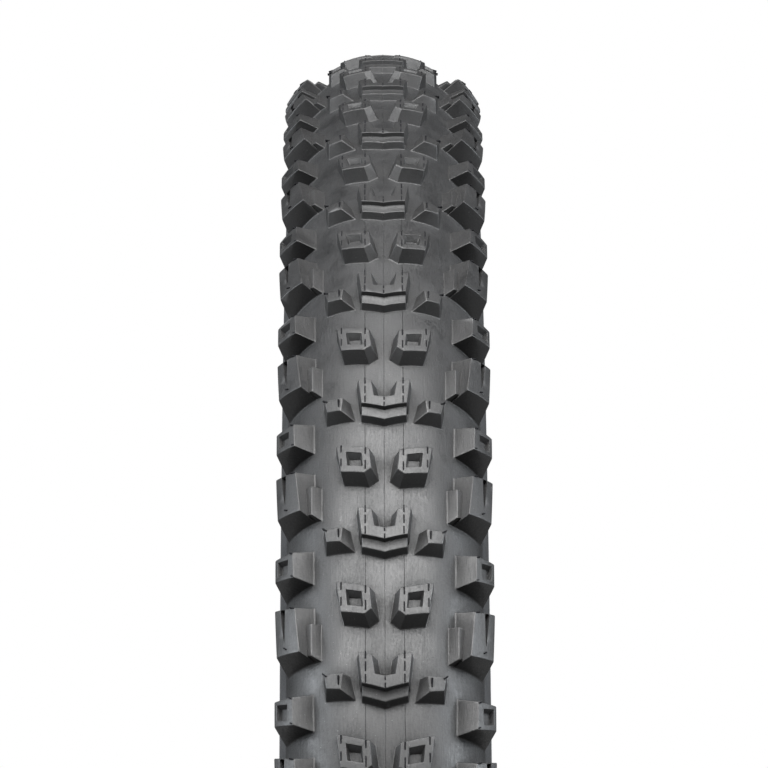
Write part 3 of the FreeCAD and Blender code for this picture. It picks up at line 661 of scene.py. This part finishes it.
# Each is (x, v) to (x, v), and for some the height at the two ends.
CHEVRON_SLIVERS = [
    (-15.4, 5.45, -12.7, 5.45, 0.2, 0.1),
    (-12.2, 5.45, -8.8, 5.45),
    (-8.2, 5.45, -5.2, 5.45),
    (-15.4, -5.45, -12.7, -5.45, 0.2, 0.1),
    (-12.2, -5.45, -8.8, -5.45),
    (-8.2, -5.45, -5.2, -5.45),
    (-7.1, 0.0, -5.9, 0.0),
    (-5.2, 0.0, -3.5, 0.0),
]
SQUARE_SLIVERS = [
    (-6.0, 3.16, -3.2, 3.16, 0.2, 0.1),
    (-1.2, 3.16, 2.0, 3.16),
    (-3.7, -3.96, -1.0, -3.96, 0.2, 0.1),
    (0.9, -3.96, 4.6, -3.96),
]
TRANSITION_SLIVERS = [
    (-1.6, -1.7, 1.5, -1.7, 0.5, 0.1),
    (-3.1, 3.3, -1.9, 1.9, 0.5, 0.2),
]
HOLLOW_SLIVERS = [(-3.6, -2.4, -2.9, -3.5, 0.4, 0.1), (4.1, -2.6, 4.9, -3.7)]
LONG_SLIVERS = [
    (4.8, 0.3, 5.9, -1.1, 0.3, 0.3),
    (-6.9, -2.6, -6.1, -4.2, 0.4, 0.1),
]


def ledge_top(x, v):
    """The ledge's top is level at its lip and curves up to the block behind it."""
    behind = max(0.0, -x + LEDGE_LIP[0] / LEDGE_LIP[1] * abs(v))
    return LEDGE_HEIGHT + LEDGE_RISE * min(1.0, behind / LEDGE_RUN) ** 2


def chevron_parts():
    """The block, open at the back, and the ledge in front of it."""
    outline = mirrored(
        [
            (-3.3, 0, 0.8, 0),
            (-5.4, 6.5, 0.8, 0.35),
            (-15.0, 7.5, -0.35, 0.35),
            (-13.8, 3.65, -0.35, -1.6),
            (-8.0, 2.9, -0.9, -1.6),
            (-7.3, 0, -0.9, 0),
        ]
    )
    top = Shell(outline, CHEVRON_TOP).build()
    ledge = mirrored([(0, 0, 1.0, 0), (*LEDGE_LIP, 0.9, 0.1), (-6.6, 6.45, 0, 0.1)])
    step = cells(Shell(ledge, LEDGE_HEIGHT).build(), LEDGE_CELL)
    for vertex in step.verts:
        if vertex.co.z > LEDGE_WAIST:
            vertex.co.z += ledge_top(vertex.co.x, vertex.co.y) - LEDGE_HEIGHT
    return [(cells(top), CHEVRON_PLACE), (step, CHEVRON_PLACE)]


def square_parts():
    """A block with a square pocket, beside the middle."""
    outline = [
        (-6.3, 4.7, -0.35, 1.2),
        (-3.2, -5.05, -0.35, -0.35),
        (4.0, -5.6, 1.9, -1.1),
        (5.6, -3.6, 2.4, -0.4),
        (3.8, 3.3, 2.25, 0),
    ]
    mouth = [(-3.2, 1.75), (-1.7, -2.85), (3.2, -3.2), (2.0, 1.3)]
    floor = [(-1.3, 1.3), (-0.6, -2.2), (2.8, -2.6), (1.7, 0.9)]
    block = Shell(outline, BLOCK_HEIGHT).build([(mouth, floor, 1.7)])
    return [(cells(block), SQUARE_PLACE)]


def transition_parts():
    """The small knob between the middle and the shoulder."""
    outline = [
        (-2.8, 3.0, -0.35, 1.85),
        (-1.9, -2.9, -0.5, -0.7),
        (2.85, -2.2, 2.5, -3.0),
        (1.7, 2.1, 2.2, 1.85),
    ]
    block = Shell(outline, TRANSITION_HEIGHT).build()
    return [(cells(block), TRANSITION_PLACE)]


def hollow_parts():
    """The shoulder knob with a pocket."""
    outline = [
        (-5.2, 5.0, -0.5, 3.4),
        (-3.4, -3.5, -1.9, -1.6),
        (5.4, -3.9, 0.8, -1.4),
        (2.5, 4.9, 3.0, 3.4),
    ]
    mouth = [(-3.6, 3.6), (-1.9, -1.4), (3.0, -1.2), (1.2, 3.5)]
    floor = [(-2.7, 3.3), (-1.3, -0.8), (2.7, -0.7), (1.0, 3.2)]
    block = Shell(outline, SHOULDER_HEIGHT, SHOULDER_FILLET).build([(mouth, floor, 1.5)])
    return [(cells(block), HOLLOW_PLACE)]


def long_parts():
    """The long shoulder knob with a narrow slit, and the step on its inner side."""
    outline = [
        (-9.5, 5.1, -0.7, 3.4),
        (-6.2, -4.4, -1.4, -1.0),
        (8.8, -6.2, 1.4, 0.2),
        (6.2, 3.9, 2.8, 3.4),
    ]
    mouth = [(-8.2, 2.0), (-7.4, -0.2), (5.0, 0.0)]
    floor = [(-8.1, 1.8), (-7.35, -0.05), (4.6, 0.05)]
    slit = (mouth, floor, 2.6, SLIT_RADIUS, SLIT_RADIUS)
    block = Shell(outline, SHOULDER_HEIGHT, SHOULDER_FILLET).build([slit])
    step_outline = [
        (-1.1, 4.0, -0.3, 0),
        (-1.1, -1.5, -0.3, -1.2),
        (9.4, -1.5, 1.2, -1.2),
        (7.2, 4.0, 1.2, 0),
    ]
    step = Shell(step_outline, STEP_HEIGHT).build()
    return [(cells(block), LONG_PLACE), (cells(step), STEP_PLACE)]


def make_blocks():
    """Every tread block, with the flash on top as pieces of its own."""
    kinds = {
        "centre_square_blocks": square_parts,
        "transition_knobs": transition_parts,
        "shoulder_hollow_knobs": hollow_parts,
        "shoulder_long_knobs": long_parts,
    }
    ring_object("chevron_blocks", chevron_parts(), 1, TREAD, "centre_chevron_blocks")
    middle_flash = [(slivers(CHEVRON_SLIVERS, CHEVRON_TOP), CHEVRON_PLACE)]
    ring_object("chevron_mould_flash", middle_flash, 1, FLASH_PAINTED_SHADE)
    for side, word in ((1, "right"), (-1, "left")):
        for kind, parts in kinds.items():
            node = f"{kind}_{word}"
            ring_object(node + "_moulded", parts(), side, TREAD, node)
        flash = [
            (slivers(SQUARE_SLIVERS, BLOCK_HEIGHT), SQUARE_PLACE),
            (slivers(TRANSITION_SLIVERS, TRANSITION_HEIGHT), TRANSITION_PLACE),
            (slivers(HOLLOW_SLIVERS, SHOULDER_HEIGHT), HOLLOW_PLACE),
            (slivers(LONG_SLIVERS, SHOULDER_HEIGHT), LONG_PLACE),
        ]
        ring_object(f"mould_flash_{word}", flash, side, FLASH_PAINTED_SHADE)


# ---------------------------------------------------------------- skin

SEGMENTS = 480  # round the wheel
GROOVE_DEPTH = 0.07
GROOVE_HALF_WIDTH = 0.09
GROOVE_PROFILE = ((-1.0, 0.0), (-0.6, 1.0), (0.6, 1.0), (1.0, 0.0))  # (across, depth) shares
MIDDLE_RIB_RISE = 0.03
BASE_POINTS = 121
INNER_POINTS = 41
CASING_CENTRE = 335.2  # radius of the centre line of the layers under the tread
BELT_TUBE = 29.0
TREAD_EDGE_RADIUS = 346.5


def edge_turn(centre, tube):
    """The section angle from the crown at which a tube meets the tread's edge."""
    return math.degrees(math.acos((TREAD_EDGE_RADIUS - centre) / tube))


OUTER_EDGE = edge_turn(TUBE_CENTRE, TUBE_RADIUS)
INNER_EDGE = edge_turn(CASING_CENTRE, BELT_TUBE)


def lathe(name, profile, material, node):
    """A closed skin made by turning a closed profile of (across, radius) points."""
    profile = np.array(profile)
    count = len(profile)
    angles = np.arange(SEGMENTS) * 2 * math.pi / SEGMENTS
    c, s = np.cos(angles)[:, None], np.sin(angles)[:, None]
    across = np.repeat(profile[None, :, 0], SEGMENTS, axis=0)
    coordinates = np.stack([profile[:, 1] * s, across, profile[:, 1] * c], axis=2)
    index = np.arange(SEGMENTS * count).reshape(SEGMENTS, count)
    next_ring = np.roll(index, -1, axis=0)
    corners = (index, np.roll(index, -1, axis=1), np.roll(next_ring, -1, axis=1), next_ring)
    quads = np.stack(corners, axis=2).reshape(-1, 4)
    mesh = mesh_from_arrays(
        name, coordinates.reshape(-1, 3), quads.ravel(), np.full(len(quads), 4)
    )
    bm = bmesh.new()
    bm.from_mesh(mesh)
    bmesh.ops.recalc_face_normals(bm, faces=bm.faces)
    bm.to_mesh(mesh)
    bm.free()
    return finish_piece(name, mesh, material, node)


def base_point(angle, height=0.0):
    """A point of the base surface, by its angle from the crown."""
    turn = math.radians(angle)
    reach = TUBE_RADIUS + height
    return reach * math.sin(turn), TUBE_CENTRE + reach * math.cos(turn)


def tube_points(radius, first, last, count, middle=0.0, centre=CASING_CENTRE):
    """Points on an arc of the section, by angles from the crown, in degrees."""
    turns = np.radians(np.linspace(first, last, count))
    return [(middle + radius * math.sin(t), centre + radius * math.cos(t)) for t in turns]


def make_base():
    """The skin between the blocks, with a groove on each side and a fine rib in the middle."""
    marks = {float(angle): 0.0 for angle in np.linspace(-OUTER_EDGE, OUTER_EDGE, BASE_POINTS)}
    lines = (
        (-GROOVE_ACROSS, -GROOVE_DEPTH),
        (0, MIDDLE_RIB_RISE),
        (GROOVE_ACROSS, -GROOVE_DEPTH),
    )
    for place, rise in lines:
        for shift, share in GROOVE_PROFILE:
            across = place + shift * GROOVE_HALF_WIDTH
            marks[math.degrees(math.asin(across / TUBE_RADIUS))] = rise * share
    outer = [base_point(angle, marks[angle]) for angle in sorted(marks)]
    inner = tube_points(BELT_TUBE, INNER_EDGE, -INNER_EDGE, INNER_POINTS)
    lathe("tread_skin", outer + inner, BASE, "tread_base")


# ---------------------------------------------------------------- sidewalls and beads

SIDE_SHIFT = 11.0  # the sidewall's own centre line is this far from the middle
SIDE_TUBE = TUBE_RADIUS - SIDE_SHIFT
SIDE_INNER_TUBE = BELT_TUBE - SIDE_SHIFT
WIDEST_TURN = 90
NECK_TURN = 152.2
UPPER_POINTS = 12
SIDE_POINTS = 260
SIDE_INNER_POINTS = 24
# Moulded rings on the sidewall: section angle, half width in degrees, and rise.
SIDE_RINGS = (
    (93.5, 0.9, 0.22),
    (96.0, 0.7, 0.22),
    (98.2, 0.7, 0.22),
    (126.0, 1.0, 0.2),
    (139.0, 1.3, 0.35),
    (143.0, 1.3, 0.35),
    (147.5, 1.6, 0.55),
)
# Rows of short ribs: first and last section angle, width and rise.
RIB_ROWS = ((100.5, 107.5, 2.0, 0.55), (128.5, 135.5, 1.2, 0.4))
RIBS_PER_PITCH = 4
RIB_POINTS = 9
RIB_RAMP = 0.2  # share of a rib's length that each of its ends slopes over
RIB_ROOT = 0.15  # depth of a rib's root in the sidewall
RIB_TOP_SHARE = 0.6  # of a rib's width
RIB_SHARP_EDGE = 30


def rise_at(angle):
    """Height of the sidewall's moulded rings."""
    for place, half_width, rise in SIDE_RINGS:
        off = abs(angle - place) / half_width
        if off < 1:
            return rise * (1 - off**4)
    return 0.0


def make_sidewalls():
    """Sidewall rubber with fine moulded rings and the line that shows the rim's edge."""
    upper = tube_points(
        TUBE_RADIUS, OUTER_EDGE, WIDEST_TURN, UPPER_POINTS, centre=TUBE_CENTRE
    )
    side = []
    for angle in np.linspace(WIDEST_TURN, NECK_TURN, SIDE_POINTS):
        side += tube_points(SIDE_TUBE + rise_at(angle), angle, angle, 1, SIDE_SHIFT)
    inner = tube_points(SIDE_INNER_TUBE, NECK_TURN, WIDEST_TURN, SIDE_INNER_POINTS, SIDE_SHIFT)
    inner += tube_points(BELT_TUBE, WIDEST_TURN, INNER_EDGE, UPPER_POINTS)[1:]
    for sign, word in ((1, "right"), (-1, "left")):
        profile = [(sign * across, up) for across, up in upper + side + inner]
        node = f"sidewall_rubber_{word}"
        lathe(node + "_skin", profile, SIDE, node)


def radial_rib(first, last, width, rise):
    """A short rib down the right sidewall at the wheel's top, between two section angles."""
    rings = []
    for angle in np.linspace(first, last, RIB_POINTS):
        ramp = min(1.0, min(angle - first, last - angle) / (RIB_RAMP * (last - first)))
        crest = rise * ramp if ramp > 0 else -RIB_ROOT
        ring = []
        top = RIB_TOP_SHARE
        for aside, height in ((-1, -RIB_ROOT), (-top, crest), (top, crest), (1, -RIB_ROOT)):
            across, up = tube_points(SIDE_TUBE + height, angle, angle, 1, SIDE_SHIFT)[0]
            ring.append((aside * width / 2, across, up))
        rings.append(ring)
    return rings


def tube_faces(rows, columns):
    """Faces of a closed bar whose points are rows of rings."""
    faces = []
    for row in range(rows - 1):
        for column in range(columns):
            following = (column + 1) % columns
            near, far = row * columns + column, row * columns + following
            faces.append([near, far, far + columns, near + columns])
    faces.append(list(range(columns))[::-1])
    faces.append([(rows - 1) * columns + column for column in range(columns)])
    return faces


def make_side_ribs():
    """Short ribs round the sidewall: a row under the shoulder and a finer row below."""
    count = PITCHES * RIBS_PER_PITCH
    for sign, word in ((1, "right"), (-1, "left")):
        pattern = Pattern()
        for row in RIB_ROWS:
            rings = np.array(radial_rib(*row))
            faces = tube_faces(*rings.shape[:2])
            if sign < 0:
                faces = [face[::-1] for face in faces]
            points = rings.reshape(-1, 3) * (1, sign, 1)
            pattern.add(points, faces, [step * 360 / count for step in range(count)])
        name = f"side_ribs_{word}"
        mesh = pattern.mesh(name)
        finish_piece(name, mesh, SIDE, sharp=RIB_SHARP_EDGE)


# ---------------------------------------------------------------- inner layers

CAD_MATERIALS = {
    "inner_liner": LINER,
    "casing_ply_inner": PLY,
    "casing_ply_outer": PLY,
    "breaker_belt": BELT,
    "sidewall_protection_left": BELT,
    "sidewall_protection_right": BELT,
    "chafer_left": CHAFER,
    "chafer_right": CHAFER,
    "bead_filler_left": FILLER,
    "bead_filler_right": FILLER,
    "bead_core_left": CORE,
    "bead_core_right": CORE,
}


def dress_layers():
    """Give the layers that keep their CAD shape their own materials."""
    for node, material in CAD_MATERIALS.items():
        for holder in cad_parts[node].material_slots:
            holder.material = material


# ---------------------------------------------------------------- room, lights, camera

COOL = (0.9, 0.95, 1.0)
FLOOR_REACH = 40.0
FLOOR_GREY = 0.6
FLOOR_ROUGHNESS = 0.9
FLOOR_FADE = (0.5, 2.2)  # distances over which the floor turns to plain white
GLOW_HEIGHTS = (-0.6, 0.2)  # upward parts of a direction
GLOW_STRENGTHS = (0.52, 0.07)

KEY_PLACE = (1.25, 0.0, 2.35)
KEY_TARGET = (0.3, 0, 0.2)
KEY_SIZE = (5.0, 1.9)
KEY_POWER = 320
SIDE_LIGHT_PLACE = (0.3, 2.3, 1.0)
SIDE_LIGHT_TARGET = (0.3, 0, 0.15)
SIDE_LIGHT_SIZE = (1.4, 1.2)
SIDE_LIGHT_POWER = 52

PHOTO_PIXELS = 768
FOCAL_PIXELS = 6570.02
SENSOR_WIDTH = 36.0
CAMERA_PLACE = (2.1522, 0.0, 0.0)
CAMERA_PITCH = 0.12260
CAMERA_ROLL = math.radians(0.24)


def area_light(name, place, target, size, power, colour=(1, 1, 1)):
    """A softbox; its size is (across the tyre, the other way)."""
    data = bpy.data.lights.new(name, "AREA")
    data.shape = "RECTANGLE"
    data.size, data.size_y = size
    data.energy = power
    data.color = colour
    lamp = bpy.data.objects.new(name, data)
    lamp.location = place
    aim = Vector(target) - Vector(place)
    lamp.rotation_euler = aim.to_track_quat("-Z", "Y").to_euler()
    bpy.context.scene.collection.objects.link(lamp)


def make_floor():
    """A pale floor that fades to plain white away from the tyre."""
    low = CAD_BOX[0]
    mesh = bpy.data.meshes.new("floor")
    signs = ((-1, -1), (1, -1), (1, 1), (-1, 1))
    corners = [(x * FLOOR_REACH, y * FLOOR_REACH, low[2]) for x, y in signs]
    mesh.from_pydata(corners, [], [(0, 1, 2, 3)])
    paint = bpy.data.materials.new("floor_paint")
    paint.use_nodes = True
    nodes, links = paint.node_tree.nodes, paint.node_tree.links
    shader = nodes["Principled BSDF"]
    shader.inputs["Base Color"].default_value = (FLOOR_GREY, FLOOR_GREY, FLOOR_GREY, 1)
    shader.inputs["Roughness"].default_value = FLOOR_ROUGHNESS
    length = nodes.new("ShaderNodeVectorMath")
    length.operation = "LENGTH"
    links.new(nodes.new("ShaderNodeTexCoord").outputs["Object"], length.inputs[0])
    fade = nodes.new("ShaderNodeMapRange")
    fade.interpolation_type = "SMOOTHSTEP"
    fade.inputs["From Min"].default_value = FLOOR_FADE[0]
    fade.inputs["From Max"].default_value = FLOOR_FADE[1]
    links.new(length.outputs["Value"], fade.inputs["Value"])
    white = nodes.new("ShaderNodeEmission")
    white.inputs["Color"].default_value = (1, 1, 1, 1)
    mix = nodes.new("ShaderNodeMixShader")
    links.new(fade.outputs["Result"], mix.inputs[0])
    links.new(shader.outputs["BSDF"], mix.inputs[1])
    links.new(white.outputs["Emission"], mix.inputs[2])
    links.new(mix.outputs["Shader"], nodes["Material Output"].inputs["Surface"])
    mesh.materials.append(paint)
    floor = bpy.data.objects.new("floor", mesh)
    bpy.context.scene.collection.objects.link(floor)
    floor.visible_diffuse = False
    floor.visible_glossy = False


def make_world():
    """A backdrop that is plain white to the camera and a soft glow, mostly from below."""
    world = bpy.data.worlds.new("studio")
    bpy.context.scene.world = world
    world.use_nodes = True
    nodes, links = world.node_tree.nodes, world.node_tree.links
    nodes["Background"].inputs["Color"].default_value = (1, 1, 1, 1)
    direction = nodes.new("ShaderNodeSeparateXYZ")
    links.new(nodes.new("ShaderNodeTexCoord").outputs["Generated"], direction.inputs["Vector"])
    glow = nodes.new("ShaderNodeMapRange")
    for name, value in zip(
        ("From Min", "From Max", "To Min", "To Max"), GLOW_HEIGHTS + GLOW_STRENGTHS
    ):
        glow.inputs[name].default_value = value
    links.new(direction.outputs["Z"], glow.inputs["Value"])
    links.new(glow.outputs["Result"], nodes["Background"].inputs["Strength"])
    white = nodes.new("ShaderNodeBackground")
    white.inputs["Color"].default_value = (1, 1, 1, 1)
    path = nodes.new("ShaderNodeLightPath")
    mix = nodes.new("ShaderNodeMixShader")
    links.new(path.outputs["Is Camera Ray"], mix.inputs["Fac"])
    links.new(nodes["Background"].outputs["Background"], mix.inputs[1])
    links.new(white.outputs["Background"], mix.inputs[2])
    links.new(mix.outputs["Shader"], nodes["World Output"].inputs["Surface"])


def make_room():
    """The floor, the backdrop, a wide key light over the front and two weak side lights."""
    make_floor()
    make_world()
    area_light("key", KEY_PLACE, KEY_TARGET, KEY_SIZE, KEY_POWER)
    x, y, z = SIDE_LIGHT_PLACE
    for side in (-1, 1):
        place = (x, side * y, z)
        area_light("side", place, SIDE_LIGHT_TARGET, SIDE_LIGHT_SIZE, SIDE_LIGHT_POWER, COOL)


def make_camera():
    """The photograph's view: from the front, aimed a little upward and slightly rolled."""
    data = bpy.data.cameras.new("camera")
    data.sensor_width = SENSOR_WIDTH
    data.lens = FOCAL_PIXELS / PHOTO_PIXELS * SENSOR_WIDTH
    camera = bpy.data.objects.new("camera", data)
    camera.location = CAMERA_PLACE
    forward = Vector((-math.cos(CAMERA_PITCH), 0, math.sin(CAMERA_PITCH)))
    aim = forward.to_track_quat("-Z", "Y").to_matrix()
    camera.rotation_euler = (aim @ Matrix.Rotation(-CAMERA_ROLL, 3, "Z")).to_euler()
    bpy.context.scene.collection.objects.link(camera)
    bpy.context.scene.camera = camera
    bpy.context.scene.view_settings.view_transform = "Standard"


make_blocks()
make_base()
make_sidewalls()
make_side_ribs()
dress_layers()
make_room()
make_camera()
